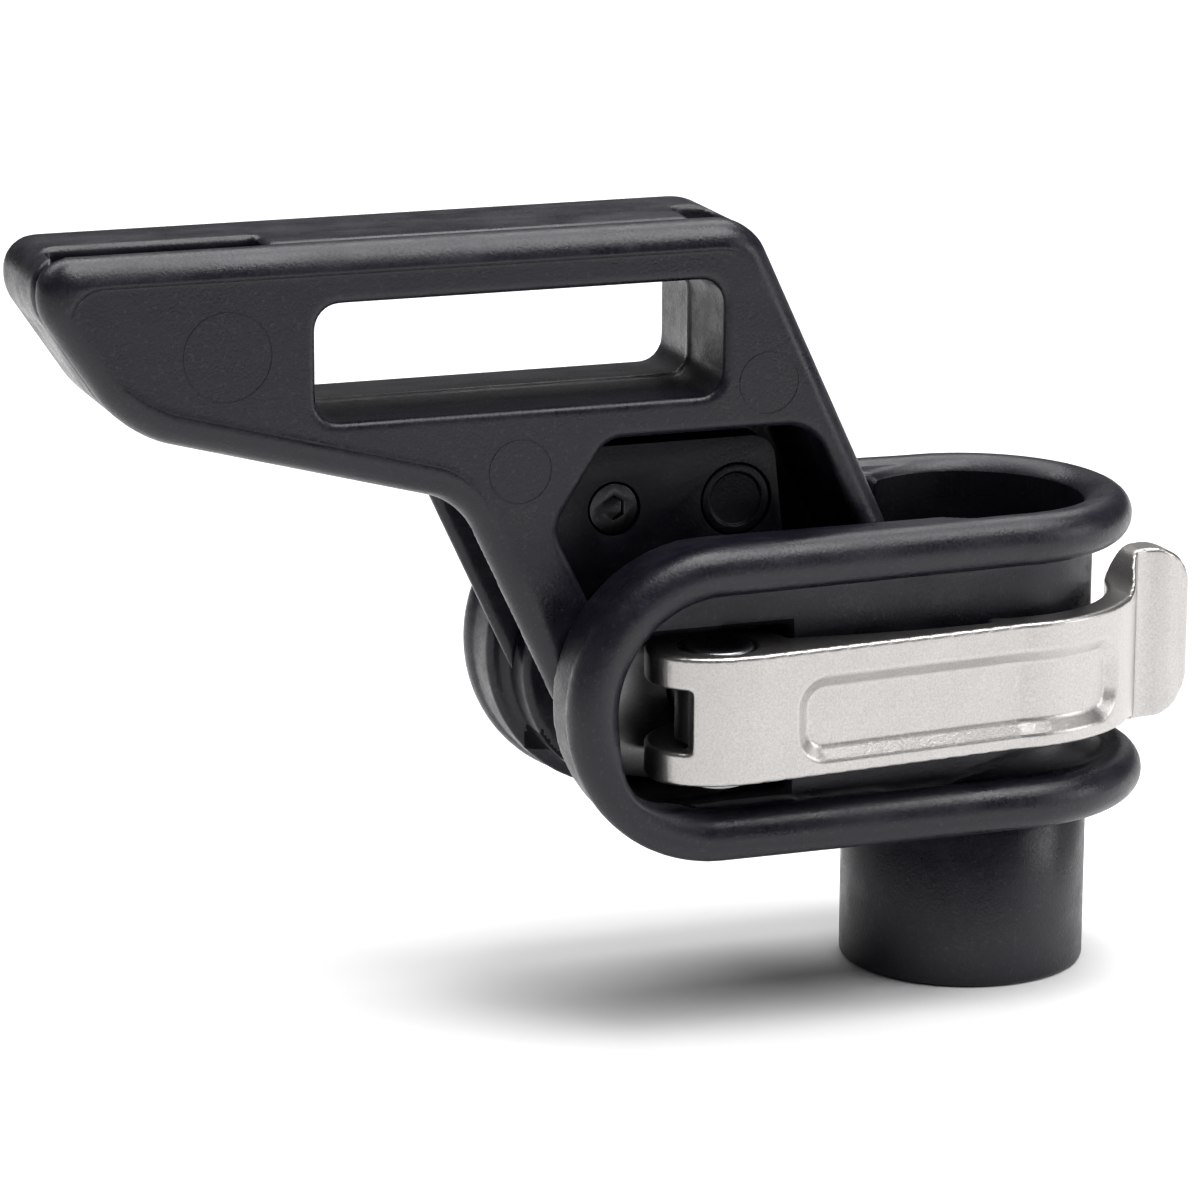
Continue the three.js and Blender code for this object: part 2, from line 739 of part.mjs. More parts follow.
const arm = new THREE.Group();
arm.position.set(rodX, 0, rodZ);
arm.add(mesh("swivel_arm", swivelArm(), nylon));
arm.add(mesh("hub_core", hubCore(), nylon));
arm.add(mesh("core_screw", coreScrew(), steel));
arm.add(mesh("core_dowel", coreDowel(), nylon));
arm.add(mesh("pivot_bush", pivotBush(), bronze));
bracket.add(arm);

export default bracket;
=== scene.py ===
import json
import math

import bmesh
import bpy
from mathutils import Matrix, Vector
from mathutils.bvhtree import BVHTree


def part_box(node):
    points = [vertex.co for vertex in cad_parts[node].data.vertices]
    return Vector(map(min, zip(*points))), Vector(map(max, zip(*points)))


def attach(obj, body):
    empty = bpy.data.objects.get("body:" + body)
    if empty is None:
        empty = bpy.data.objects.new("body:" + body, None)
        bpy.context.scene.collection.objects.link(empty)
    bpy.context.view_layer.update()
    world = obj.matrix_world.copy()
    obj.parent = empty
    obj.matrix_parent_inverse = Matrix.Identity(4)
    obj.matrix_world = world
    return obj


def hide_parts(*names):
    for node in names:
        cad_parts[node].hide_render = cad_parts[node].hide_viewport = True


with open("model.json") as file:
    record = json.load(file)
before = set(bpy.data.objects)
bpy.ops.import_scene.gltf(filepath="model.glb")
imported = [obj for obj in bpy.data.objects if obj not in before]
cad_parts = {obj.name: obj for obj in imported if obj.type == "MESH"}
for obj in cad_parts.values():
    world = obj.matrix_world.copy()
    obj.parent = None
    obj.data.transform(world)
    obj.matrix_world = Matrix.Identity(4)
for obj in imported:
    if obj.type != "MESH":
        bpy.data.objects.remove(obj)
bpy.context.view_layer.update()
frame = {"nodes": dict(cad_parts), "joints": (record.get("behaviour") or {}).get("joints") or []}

# Pieces are made in millimetres, in the frame's own axes, and brought to metres when they are finished.
toMetres = 0.001
tiny = 1e-6         # two heights closer than this are the same
weld = 1e-4         # two corners closer than this are joined
past = 1            # how far a cutting solid reaches past the face it cuts
joints = {joint["name"]: Vector(joint["pos_m"]) / toMetres for joint in frame["joints"]}
tilt = joints["arm_tilt"]
pin = joints["lever_open"]


def boxOf(node):
    low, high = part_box(node)
    return low / toMetres, high / toMetres


def asObject(name, bm):
    bmesh.ops.recalc_face_normals(bm, faces=bm.faces)
    mesh = bpy.data.meshes.new(name)
    bm.to_mesh(mesh)
    bm.free()
    piece = bpy.data.objects.new(name, mesh)
    bpy.context.scene.collection.objects.link(piece)
    return piece


def applyModifiers(piece):
    graph = bpy.context.evaluated_depsgraph_get()
    made = bpy.data.meshes.new_from_object(piece.evaluated_get(graph))
    piece.modifiers.clear()
    piece.data = made
    return piece


def combine(piece, tool, operation):
    modifier = piece.modifiers.new("combine", "BOOLEAN")
    modifier.object = tool
    modifier.operation = operation
    modifier.solver = "EXACT"
    applyModifiers(piece)
    bpy.data.objects.remove(tool)
    return piece


def cut(piece, *tools):
    for tool in tools:
        combine(piece, tool, "DIFFERENCE")
    return piece


def join(piece, *tools):
    for tool in tools:
        combine(piece, tool, "UNION")
    return piece


def place(bm, matrix):
    bmesh.ops.transform(bm, matrix=matrix, verts=bm.verts)


def vertsOf(made):
    return [part for part in made if isinstance(part, bmesh.types.BMVert)]


# A flat face through corners (a, b, radius), each rounded by its radius.
def flatFace(corners, segments):
    bm = bmesh.new()
    verts = [bm.verts.new((a, b, 0)) for a, b, radius in corners]
    bm.faces.new(verts)
    for i, (a, b, radius) in enumerate(corners):
        if not radius:
            continue
        here = Vector((a, b))
        before = Vector(corners[i - 1][:2]) - here
        after = Vector(corners[(i + 1) % len(corners)][:2]) - here
        reach = radius / math.tan(before.angle(after) / 2)
        bmesh.ops.bevel(bm, geom=[verts[i]], offset=reach, segments=segments, profile=0.5,
                        affect="VERTICES", clamp_overlap=False, material=-1)
    return bm


# A face carried from one height to another along z, or, for a side outline (x, z), along y.
def prism(corners, low, high, axis="z", edge=0, segments=10, edgeSegments=8):
    bm = flatFace(corners, segments)
    extruded = bmesh.ops.extrude_face_region(bm, geom=bm.faces[:])["geom"]
    bmesh.ops.translate(bm, verts=vertsOf(extruded), vec=(0, 0, high - low))
    if edge:
        rims = [e for e in bm.edges if abs(e.verts[0].co.z - e.verts[1].co.z) < tiny]
        bmesh.ops.bevel(bm, geom=rims, offset=edge, segments=edgeSegments, profile=0.5,
                        affect="EDGES", clamp_overlap=False, material=-1)
    if axis == "y":
        place(bm, Matrix.Translation((0, high, 0)) @ Matrix.Rotation(math.pi / 2, 4, "X"))
    else:
        place(bm, Matrix.Translation((0, 0, low)))
    return asObject("prism", bm)


def rectangle(a0, a1, b0, b1, radius=0):
    return [(a0, b0, radius), (a1, b0, radius), (a1, b1, radius), (a0, b1, radius)]


def cylinder(radius, low, high, axis="z", centre=(0, 0), sides=128):
    bm = bmesh.new()
    bmesh.ops.create_cone(bm, cap_ends=True, segments=sides, radius1=radius, radius2=radius,
                          depth=high - low)
    middle = (low + high) / 2
    if axis == "y":
        place(bm, Matrix.Translation((centre[0], middle, centre[1])) @ Matrix.Rotation(math.pi / 2, 4, "X"))
    else:
        place(bm, Matrix.Translation((centre[0], centre[1], middle)))
    return asObject("cylinder", bm)


# A section (radius, height) turned about z. An open one starts and ends on the axis.
def turned(section, sides=128, closed=True):
    bm = bmesh.new()
    verts = [bm.verts.new((radius, 0, height)) for radius, height in section]
    edges = [bm.edges.new(pair) for pair in zip(verts, verts[1:])]
    if closed:
        edges.append(bm.edges.new((verts[-1], verts[0])))
    bmesh.ops.spin(bm, geom=verts + edges, cent=(0, 0, 0), axis=(0, 0, 1), angle=2 * math.pi,
                   steps=sides, use_merge=True)
    bmesh.ops.remove_doubles(bm, verts=bm.verts, dist=weld)
    return asObject("turned", bm)


def arc(centre, radius, start, end, steps):
    angles = [math.radians(start + (end - start) * k / steps) for k in range(steps + 1)]
    return [(centre[0] + radius * math.cos(a), centre[1] + radius * math.sin(a)) for a in angles]


# Rounds every edge as a moulding's are: an even fine mesh is relaxed, and then laid back on the
# exact surface wherever it has moved by less than snap.
def mould(piece, voxel, passes, snap=(0.04, 0.14)):
    source = bmesh.new()
    source.from_mesh(piece.data)
    exact = BVHTree.FromBMesh(source)
    source.free()
    remesh = piece.modifiers.new("remesh", "REMESH")
    remesh.mode = "VOXEL"
    remesh.voxel_size = voxel
    applyModifiers(piece)
    bm = bmesh.new()
    bm.from_mesh(piece.data)
    for _ in range(passes):
        bmesh.ops.smooth_vert(bm, verts=bm.verts, factor=0.5, use_axis_x=True, use_axis_y=True,
                              use_axis_z=True)
    for v in bm.verts:
        nearest, normal, index, distance = exact.find_nearest(v.co)
        away = min(max((distance - snap[0]) / (snap[1] - snap[0]), 0), 1)
        v.co = nearest.lerp(v.co, away)
    bm.to_mesh(piece.data)
    bm.free()
    return piece


# Edges sharper than crease degrees stay sharp, where one is given.
def finishPiece(piece, name, body, material, slotName, *nodes, crease=0):
    piece.name = name
    piece.data.name = name
    piece.data.transform(Matrix.Scale(toMetres, 4))
    piece.data.materials.clear()
    piece.data.materials.append(material)
    piece.data.shade_smooth()
    if crease:
        piece.data.set_sharp_from_angle(angle=math.radians(crease))
    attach(piece, body)
    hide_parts(*nodes)
    print(f"{name}: {len(piece.data.polygons)} faces")
    return piece


# A socket's value in an expression.
class Value:
    def __init__(self, finish, socket):
        self.finish = finish
        self.socket = socket

    def math(self, operation, a, b):
        return self.finish.add("ShaderNodeMath", {"operation": operation}, {0: a, 1: b})

    def __add__(self, other):
        return self.math("ADD", self, other)

    def __sub__(self, other):
        return self.math("SUBTRACT", self, other)

    def __rsub__(self, other):
        return self.math("SUBTRACT", other, self)

    def __mul__(self, other):
        return self.math("MULTIPLY", self, other)

    __radd__ = __add__
    __rmul__ = __mul__


class Finish:
    def __init__(self, name, **constants):
        self.material = bpy.data.materials.new(name)
        self.material.use_nodes = True
        self.tree = self.material.node_tree
        self.tree.nodes.clear()
        self.output = self.tree.nodes.new("ShaderNodeOutputMaterial")
        self.surface = self.tree.nodes.new("ShaderNodeBsdfPrincipled")
        self.tree.links.new(self.surface.outputs[0], self.output.inputs["Surface"])
        for socket, value in constants.items():
            self.surface.inputs[socket.replace("_", " ")].default_value = value
        self.place = self.add("ShaderNodeTexCoord", output="Object")

    # Any node: its settings first, then its sockets' values or links.
    def add(self, kind, settings=None, sockets=None, output=0):
        node = self.tree.nodes.new(kind)
        for key, value in (settings or {}).items():
            setattr(node, key, value)
        for key, value in (sockets or {}).items():
            if isinstance(value, Value):
                self.tree.links.new(value.socket, node.inputs[key])
            else:
                node.inputs[key].default_value = value
        return Value(self, node.outputs[output])

    # Noise of this size in millimetres.
    def noise(self, size, detail=2, place=None):
        sockets = {"Vector": place or self.place, "Scale": 1 / (size * toMetres), "Detail": detail,
                   "Roughness": 0.5}
        return self.add("ShaderNodeTexNoise", None, sockets)

    def stretched(self, scale):
        return self.add("ShaderNodeMapping", None, {"Vector": self.place, "Scale": scale})

    # 0 below the first limit and 1 above the second.
    def between(self, value, low, high):
        sockets = {"Value": value, "From Min": low, "From Max": high}
        return self.add("ShaderNodeMapRange", {"clamp": True}, sockets)

    def mixed(self, factor, first, second):
        sockets = {0: factor, 6: (*first, 1) if isinstance(first, tuple) else first, 7: (*second, 1)}
        return self.add("ShaderNodeMix", {"data_type": "RGBA"}, sockets, output=2)

    def set(self, **values):
        for socket, value in values.items():
            self.tree.links.new(value.socket, self.surface.inputs[socket.replace("_", " ")])

    def bump(self, height, depth):
        sockets = {"Height": height, "Distance": depth * toMetres, "Strength": 1.0}
        self.set(Normal=self.add("ShaderNodeBump", None, sockets))


def scaled(colour, factor):
    return tuple(c * factor for c in colour)


nylonLook = {
    "dark": (0.0042, 0.0040, 0.0085), "light": (0.0092, 0.0088, 0.0150),
    "roughness": 0.38, "specular": 0.38,
    "cloud": 8,                          # size of the cloudy patches
    "flow": 2.2, "flowStretch": (0.25, 1.0, 1.0),   # streaks the melt leaves along the mould
    "patches": (0.38, 0.62), "patchRoughness": 0.16,
    "grain": 0.34, "grainRoughness": 0.30, "grainDepth": 0.05,
    "speck": 0.5, "speckSize": 0.55, "specks": (0.63, 0.72), "speckLight": 2.4,
}


def mouldedNylon(name, look, lift=1.0):
    finish = Finish(name, Specular_IOR_Level=look["specular"])
    cloud = finish.noise(look["cloud"], 4)
    flow = finish.noise(look["flow"], 3, finish.stretched(look["flowStretch"]))
    grain = finish.noise(look["grain"], 2)
    speck = finish.between(finish.noise(look["speckSize"], 1), *look["specks"])
    patches = finish.between(cloud * 0.6 + flow * 0.4, *look["patches"])
    light = scaled(look["light"], lift)
    bare = finish.mixed(patches, scaled(look["dark"], lift), light)
    uneven = (patches - 0.5) * look["patchRoughness"] + (grain - 0.5) * look["grainRoughness"]
    finish.set(
        Base_Color=finish.mixed(speck * look["speck"], bare, scaled(light, look["speckLight"])),
        Roughness=look["roughness"] + uneven,
    )
    finish.bump(grain * 0.7 + flow * 0.3, look["grainDepth"])
    return finish.material


alloyLook = {
    "dark": (0.405, 0.388, 0.378), "light": (0.515, 0.495, 0.482), "roughness": 0.33,
    "grain": 0.22, "grainRoughness": 0.15, "grainDepth": 0.016,
    "cloud": 6, "shades": (0.35, 0.65),
    "pit": 0.42, "pits": (0.30, 0.45), "pitRoughness": 0.06,
}


def blastedAlloy(name, look):
    finish = Finish(name, Metallic=1.0)
    grain = finish.noise(look["grain"], 2)
    cloud = finish.noise(look["cloud"], 3)
    pits = finish.between(finish.noise(look["pit"], 1), *look["pits"])
    shade = finish.between(grain * 0.85 + cloud * 0.15, *look["shades"])
    uneven = (grain - 0.5) * look["grainRoughness"] + (1 - pits) * look["pitRoughness"]
    finish.set(
        Base_Color=finish.mixed(shade, look["dark"], look["light"]),
        Roughness=look["roughness"] + uneven,
    )
    finish.bump(grain * 0.7 + pits * 0.3, look["grainDepth"])
    return finish.material


turnedLook = {
    "ring": 0.5, "ringStretch": (1.0, 1.0, 6.0), "rings": (0.3, 0.7),   # marks of the turning tool
    "shade": 0.72, "grain": 0.3, "grainRoughness": 0.15, "depth": 0.01,
}


def turnedMetal(name, colour, roughness):
    look = turnedLook
    finish = Finish(name, Metallic=1.0)
    rings = finish.noise(look["ring"], 2, finish.stretched(look["ringStretch"]))
    grain = finish.noise(look["grain"], 2)
    shade = scaled(colour, look["shade"])
    finish.set(
        Base_Color=finish.mixed(finish.between(rings, *look["rings"]), shade, colour),
        Roughness=roughness + (grain - 0.5) * look["grainRoughness"],
    )
    finish.bump(rings * 0.5 + grain * 0.5, look["depth"])
    return finish.material


nylon = mouldedNylon("moulded nylon", nylonLook)
# a matt copy of the nylon, its colour darkened to paint the shade in the collar's bore and cam windows
mattShadedNylon = mouldedNylon("matt nylon with painted shade", {**nylonLook, "specular": 0.08, "roughness": 0.6}, 0.35)
# a darker copy of the nylon for the core and dowel inside the arm, its colour darkened as painted shade for
# their recess
shadedCoreNylon = mouldedNylon("core nylon with painted shade", {**nylonLook, "specular": 0.2}, 0.5)
alloy = blastedAlloy("blasted alloy", alloyLook)
steel = turnedMetal("zinc plated steel", (0.36, 0.36, 0.37), 0.34)
darkSteel = turnedMetal("blackened steel", (0.05, 0.05, 0.053), 0.30)
pinSteel = turnedMetal("pin steel", (0.34, 0.34, 0.36), 0.3)
bronze = turnedMetal("sintered bronze", (0.42, 0.28, 0.13), 0.45)
acetal = mouldedNylon("smooth acetal", {**nylonLook, "grainDepth": 0.01}, 2.0)
print("materials made")


tube = {
    "edge": 0.7,       # rounding of the foot
    "bore": 10.9,
    "neck": 12.6,
    "groove": 11.8,    # where the snap ring sits
    "ringPlay": 0.2,   # room above and below the ring
    "washerGap": 0.3,
    "chamfer": 0.3,    # on the shoulder under the washer
    "rim": (0.4, 0.5), # rounding of the top, outside and inside
}


def makeTube():
    low, high = boxOf("socket_tube")
    ringLow, ringHigh = boxOf("socket_snap_ring")
    washerLow = boxOf("thrust_washer")[0]
    outer, edge, bore, neck = high.x, tube["edge"], tube["bore"], tube["neck"]
    groove, play, chamfer = tube["groove"], tube["ringPlay"], tube["chamfer"]
    rimOut, rimIn = tube["rim"]
    shoulder = washerLow.z - tube["washerGap"]
    foot = arc((outer - edge, low.z + edge), edge, -90, 0, 6)
    inner = arc((bore + edge, low.z + edge), edge, 180, 270, 6)
    rim = arc((neck - rimOut, high.z - rimOut), rimOut, 0, 90, 4)
    mouth = arc((bore + rimIn, high.z - rimIn), rimIn, 90, 180, 4)
    section = inner + foot + [(outer, shoulder - chamfer), (outer - chamfer, shoulder), (neck, shoulder)]
    section += [(neck, ringLow.z - play), (groove, ringLow.z - play)]
    section += [(groove, ringHigh.z + play), (neck, ringHigh.z + play)] + rim + mouth
    piece = turned(section, 160)
    return finishPiece(piece, "socketTube", "socket", nylon, "moulded_nylon", "socket_tube", crease=50)


collar = {
    "wall": 15, "bore": 13, "mouth": 13.6, "mouthDepth": 10.6,
    "mouthLip": 0.25, "mouthLedge": 1,   # the crisp step cut round the mouth after moulding
    "topRing": 16.6, "lowRing": 18.6, "bead": 3.1, "beadProud": 0.6,
    "earInner": 11.6, "earOuter": 16.4, "earBead": 18.8,
    "earEnd": 0.998,                     # the ear's end, as a share of a full half round
    "flange": (0.8, 3.6),                # where the foot's flange starts and ends
    "fillet": 4.4, "filletAt": (0.6, 9.2), "flangeTop": 9,
    "boss": 15.9, "bossInner": 5.6, "bossFloor": 1.4,
    "window": (-13, 9.6, -10.9, 9.1),    # the cam head's opening: left, right, low, high of the tilt axis
    "windowCorners": (7, 1),             # left, right
    "rodHole": 2.85,
    "mattShadeRim": 1.6,                      # the bore is matt, and its colour darkened as painted shade, from this far down
    "mattShadeMargin": 0.7,                   # the window is matt, and its colour darkened as painted shade, this far round it
    "voxel": 0.42, "passes": 7,
}


# The bead's centre line: once round the mouth, down round the end of one ear, round the foot, and back up.
def beadLine(low, high):
    middle = (low + high) / 2
    loop = (high - low) / 2 - (collar["bead"] - collar["beadProud"])

    def half(radius, z, side):
        lean = math.asin((collar["earBead"] - radius) / -tilt.x)
        last = math.degrees(math.pi / 2 + lean)
        return [(x, side * y, z) for x, y in arc((0, 0), radius, 0, last, 28)]

    def end(side):
        return [(tilt.x - a, side * collar["earBead"], middle + b)
                for b, a in arc((0, 0), loop, 0, 180, 32)]

    def bothHalves(radius, z, side):
        return half(radius, z, -side)[::-1] + half(radius, z, side)[1:]

    top = bothHalves(collar["topRing"], middle + loop, 1)
    foot = bothHalves(collar["lowRing"], middle - loop, -1)
    return top + end(1) + foot + end(-1)[::-1]


def bead(low, high):
    curve = bpy.data.curves.new("bead", "CURVE")
    curve.dimensions = "3D"
    curve.bevel_depth = collar["bead"]
    curve.bevel_resolution = 10
    line = beadLine(low, high)
    spline = curve.splines.new("POLY")
    spline.points.add(len(line) - 1)
    for point, at in zip(spline.points, line):
        point.co = (*at, 1)
    spline.use_cyclic_u = True
    drawn = bpy.data.objects.new("bead", curve)
    bpy.context.scene.collection.objects.link(drawn)
    graph = bpy.context.evaluated_depsgraph_get()
    mesh = bpy.data.meshes.new_from_object(drawn.evaluated_get(graph))
    bpy.data.objects.remove(drawn)
    piece = bpy.data.objects.new("bead", mesh)
    bpy.context.scene.collection.objects.link(piece)
    return piece


# Everything above the inner side of the bead round the mouth.
def mouthFunnel(middle, top):
    radius = collar["topRing"]
    side = arc((radius, middle), collar["bead"], 180, 90, 16)
    return turned([(0, middle), *side, (radius, top), (0, top)])


# The ring and both ears in one, with straight sides.
def collarBody(low, high):
    c = collar
    halfHeight = (high - low) / 2
    lean = math.asin((c["earOuter"] - c["wall"]) / -tilt.x)
    touchX = c["wall"] * math.cos(math.pi / 2 + lean)
    touchY = c["wall"] * math.sin(math.pi / 2 + lean)
    farX = tilt.x - halfHeight
    beyond = farX - 5
    plan = [(beyond, -c["earOuter"], 0), (tilt.x, -c["earOuter"], 0), (touchX, -touchY, 0),
            (touchX, touchY, 0), (tilt.x, c["earOuter"], 0), (beyond, c["earOuter"], 0)]
    piece = prism(plan, low, high)
    endRadius = halfHeight * c["earEnd"]
    side = [(c["wall"], low, 0), (c["wall"], high, 0), (farX, high, endRadius), (farX, low, endRadius)]
    combine(piece, prism(side, -2 * c["earOuter"], 2 * c["earOuter"], "y", segments=40), "INTERSECT")
    join(piece, cylinder(c["wall"], low, high))
    inside = c["wall"] - past
    start, end = c["flange"]
    acrossFillet, upFillet = c["filletAt"]
    flange = [(inside, low), (c["lowRing"], low + start), (c["lowRing"], low + end)]
    flange += arc((c["lowRing"] + acrossFillet, low + upFillet), c["fillet"], 250, 190, 10)
    join(piece, turned(flange + [(inside, low + c["flangeTop"])]), bead(low, high))
    cut(piece, prism(rectangle(farX - 10, 0, -c["earInner"], c["earInner"]), 0, 2 * high))
    return piece


def makeCollar():
    c = collar
    low, high = (corner.z for corner in boxOf("clamp_collar"))
    low, high = low + c["beadProud"], high - c["beadProud"]
    ledge = high - c["mouthDepth"]
    piece = collarBody(low, high)
    cut(piece, cylinder(c["bore"], 0, 2 * high), cylinder(c["mouth"], ledge, 2 * high))
    cut(piece, mouthFunnel(high - c["bead"] + c["beadProud"], 2 * high))
    left, right, bottom, top = c["window"]
    leftCorner, rightCorner = c["windowCorners"]
    opening = [(tilt.x + left, tilt.z + top, leftCorner), (tilt.x + left, tilt.z + bottom, leftCorner),
               (tilt.x + right, tilt.z + bottom, rightCorner), (tilt.x + right, tilt.z + top, rightCorner)]
    centre = (tilt.x, tilt.z)
    for s in (-1, 1):
        span = sorted((s * c["bossInner"], s * (c["earInner"] + past)))
        join(piece, cylinder(c["boss"], *span, "y", centre))
    floor = c["bossInner"] + c["bossFloor"]
    for s in (-1, 1):
        cut(piece, prism(opening, *sorted((s * floor, s * 2 * c["earOuter"])), "y"))
    cut(piece, cylinder(c["rodHole"], -c["earOuter"], c["earOuter"], "y", centre, 48))
    mould(piece, c["voxel"], c["passes"])
    cut(piece, cylinder(c["mouth"] + c["mouthLip"], ledge + c["mouthLedge"], 2 * high))
    finishPiece(piece, "clampCollar", "collar", nylon, "moulded_nylon", "clamp_collar", crease=50)

    # the bore and the windows for the cam are left matt, their colour darkened as painted shade
    piece.data.materials.append(mattShadedNylon)
    margin = c["mattShadeMargin"]
    for face in piece.data.polygons:
        x, y, z = face.center / toMetres
        across, up = x - tilt.x, z - tilt.z
        inBore = math.hypot(x, y) < c["mouth"] + 0.3 and z < high - c["mattShadeRim"]
        deep = c["bossInner"] + 0.2 < abs(y) < c["earOuter"] + 1.2
        inWindow = deep and left - margin < across < right + margin and bottom - margin < up < top + margin
        if inBore or inWindow:
            face.material_index = 1
    return piece


# Places on the arm are across and up from the tilt axis.
arm = {
    "hub": 15.3, "toe": 24.9, "toeHeight": 18.3, "plate": 4.2, "edge": 3.5, "lean": 25, "underside": 15,
    "tipDepth": 20.6, "chin": 9.6, "nose": 6,     # chin: across from the left end, nose: down from the top
    # rounding of the outline's corners, clockwise from the left end's top
    "corners": {"brow": 3.8, "shoulder": 6.3, "toe": 4, "heel": 18, "neck": 8, "chin": 14, "nose": 5},
    "slot": (-46.5, 3.2, 35.8, 49.7), "slotRadius": 2.8, "slotDraft": 0.5,
    "rail": 4.4,
    "slabInset": 0.05, "slabShy": 0.03,
    "slit": (2.6, 27.4, 5.6), "slitDepth": (4.5, 8.5),     # from the left end, width, depth at each end
    "pocket": (0.8, 5.6, 1.2), "pocketDepth": 2.4,         # left, right, rear side
    "groove": 0.7,                 # between the front rail and the web
    "rim": 3.0, "rimStep": 0.2,    # the front face lies this much behind its rim
    "rimLine": (0.26, 0.05),       # width and depth of the fine line inside it
    "windowTop": 31.4, "web": 4.2, "recess": 16.5,
    "hollowWall": 2.8,             # between the hollow and the toe's face
    "hollowSlope": (7.6, 14), "hollowLeft": ((-42, 20), (-33, 27), (-20, 4)),
    "screw": (-8.9, 22.2), "screwHole": 1.9, "dowel": (6.4, 22.2), "dowelHole": 4.5, "holeFloor": 1.4,
    # marks left by the mould's ejector pins on the front face: across, up, radius
    "marks": ((-22.1, 28.7, 3.9), (8.6, 37.1, 3.8), (-56.9, 44.5, 5.3)),
    "markWidth": 0.24, "markDepth": 0.08,
    "voxel": 0.42, "passes": 6,
}


# Inset draws the outline that much inside the full one, and shy brings in the toe and the hub alone.
def armOutline(left, top, inset=0, shy=0):
    left, top, tipDepth = left + inset, top - inset, arm["tipDepth"] - 2 * inset
    rounding = arm["corners"]
    toe = arm["toe"] - shy
    hub = arm["hub"] - shy
    lean = math.tan(math.radians(arm["lean"]))
    slope = math.tan(math.radians(arm["underside"]))
    hubSide = hub / math.cos(math.radians(arm["lean"]))
    tipX, tipZ = left + arm["chin"], top - tipDepth
    neckX = (-hubSide - lean * (tipZ + slope * tipX)) / (1 - lean * slope)
    return [
        (left, top, rounding["brow"]),
        (toe + (arm["toeHeight"] - top) * lean, top, rounding["shoulder"]),
        (toe, arm["toeHeight"], rounding["toe"]),
        (toe, -hub, rounding["heel"]),
        (-hubSide + hub * lean, -hub, hub),
        (neckX, tipZ - slope * (neckX - tipX), rounding["neck"]),
        (tipX, tipZ, rounding["chin"]),
        (left, top - arm["nose"], rounding["nose"]),
    ]


# The strap slot opens a little towards both faces, so a fine ridge runs round its middle.
def slotCutter(half):
    x0, x1, z0, z1 = arm["slot"]
    draft = arm["slotDraft"]
    bm = flatFace(rectangle(x0 + draft, x1 - draft, z0 + draft, z1 - draft, arm["slotRadius"]), 10)
    centre = Matrix.Translation((-(x0 + x1) / 2, -(z0 + z1) / 2, 0))
    wide = ((x1 - x0) / (x1 - x0 - 2 * draft), (z1 - z0) / (z1 - z0 - 2 * draft), 1)
    for side in (1, -1):
        start = [f for f in bm.faces if max(abs(v.co.z) for v in f.verts) < tiny]
        verts = vertsOf(bmesh.ops.extrude_face_region(bm, geom=start)["geom"])
        bmesh.ops.translate(bm, verts=verts, vec=(0, 0, side * (half + 0.02)))
        bmesh.ops.scale(bm, verts=verts, vec=wide, space=centre)
    place(bm, Matrix.Rotation(math.pi / 2, 4, "X"))
    return asObject("slot", bm)


# A plate of the arm's shape, this far inside its outline.
def rimmed(left, top, inset, near, far):
    return prism(armOutline(left, top, inset, 0.7 * inset), near, far, "y", segments=16)


# The front plate, and behind it a web and rear plate in one slab that lies a little inside its outline.
def armPlates(left, top, half, front):
    edge = arm["edge"]
    piece = prism(armOutline(left, top), -half, half, "y", edge=edge, segments=16)
    cut(piece, prism(rectangle(2 * left, -2 * left, front, 2 * half), -2 * top, 2 * top))
    slabOutline = armOutline(left, top, arm["slabInset"], arm["slabShy"])
    join(piece, prism(slabOutline, arm["slabShy"] - half, half, "y", edge=edge, segments=16))
    groove = prism(rectangle(2 * left, 1, front - 0.1, front + arm["groove"]), -2 * top, 2 * top)
    cut(groove, prism(armOutline(left, top, arm["groove"]), -half, half, "y", segments=16))
    return cut(piece, groove)


# The hollow round the core, its opening in the front face, and the recesses for the collar's bosses.
def armHollows(half):
    inner = half - arm["plate"]
    ceiling = arm["windowTop"]
    wall = arm["toe"] - arm["hollowWall"]
    slopeBack, slopeFoot = arm["hollowSlope"]
    (x0, z0), (x1, z1), (x2, corner) = arm["hollowLeft"]
    deep = -40   # below everything
    hollow = [(x0, z0, 0), (x1, z1, 0), (x2, ceiling, corner), (wall - slopeBack, ceiling, corner),
              (wall, slopeFoot, 2), (wall, deep, 0), (x0, deep, 0)]
    # the opening's corners, clockwise from its top left
    window = [(-11.4, ceiling + 0.2, 3), (14.6, ceiling + 0.2, 5), (23, 12.5, 2),
              (19, 4, 2), (-9.5, 4, 1), (-17.9, 21.4, 4)]
    tools = [prism(hollow, -inner, inner, "y"), prism(window, -2 * half, -inner + 0.5, "y")]
    for s in (-1, 1):
        tools.append(cylinder(arm["recess"], *sorted((s * (arm["web"] - past), s * 2 * half)), "y"))
    return tools


# The slit behind the front rail and the small pocket, on the arm's top.
def topHollows(left, top, front):
    start, end, width = arm["slit"]
    startDepth, endDepth = arm["slitDepth"]
    slit = [(left + start, top - startDepth, 0), (left + end, top - endDepth, 0),
            (left + end, 2 * top, 0), (left + start, 2 * top, 0)]
    pocketLeft, pocketRight, rear = arm["pocket"]
    pocket = rectangle(pocketLeft, pocketRight, front, rear, 1)
    return [prism(slit, front, front + width, "y"), prism(pocket, top - arm["pocketDepth"], top + 5)]


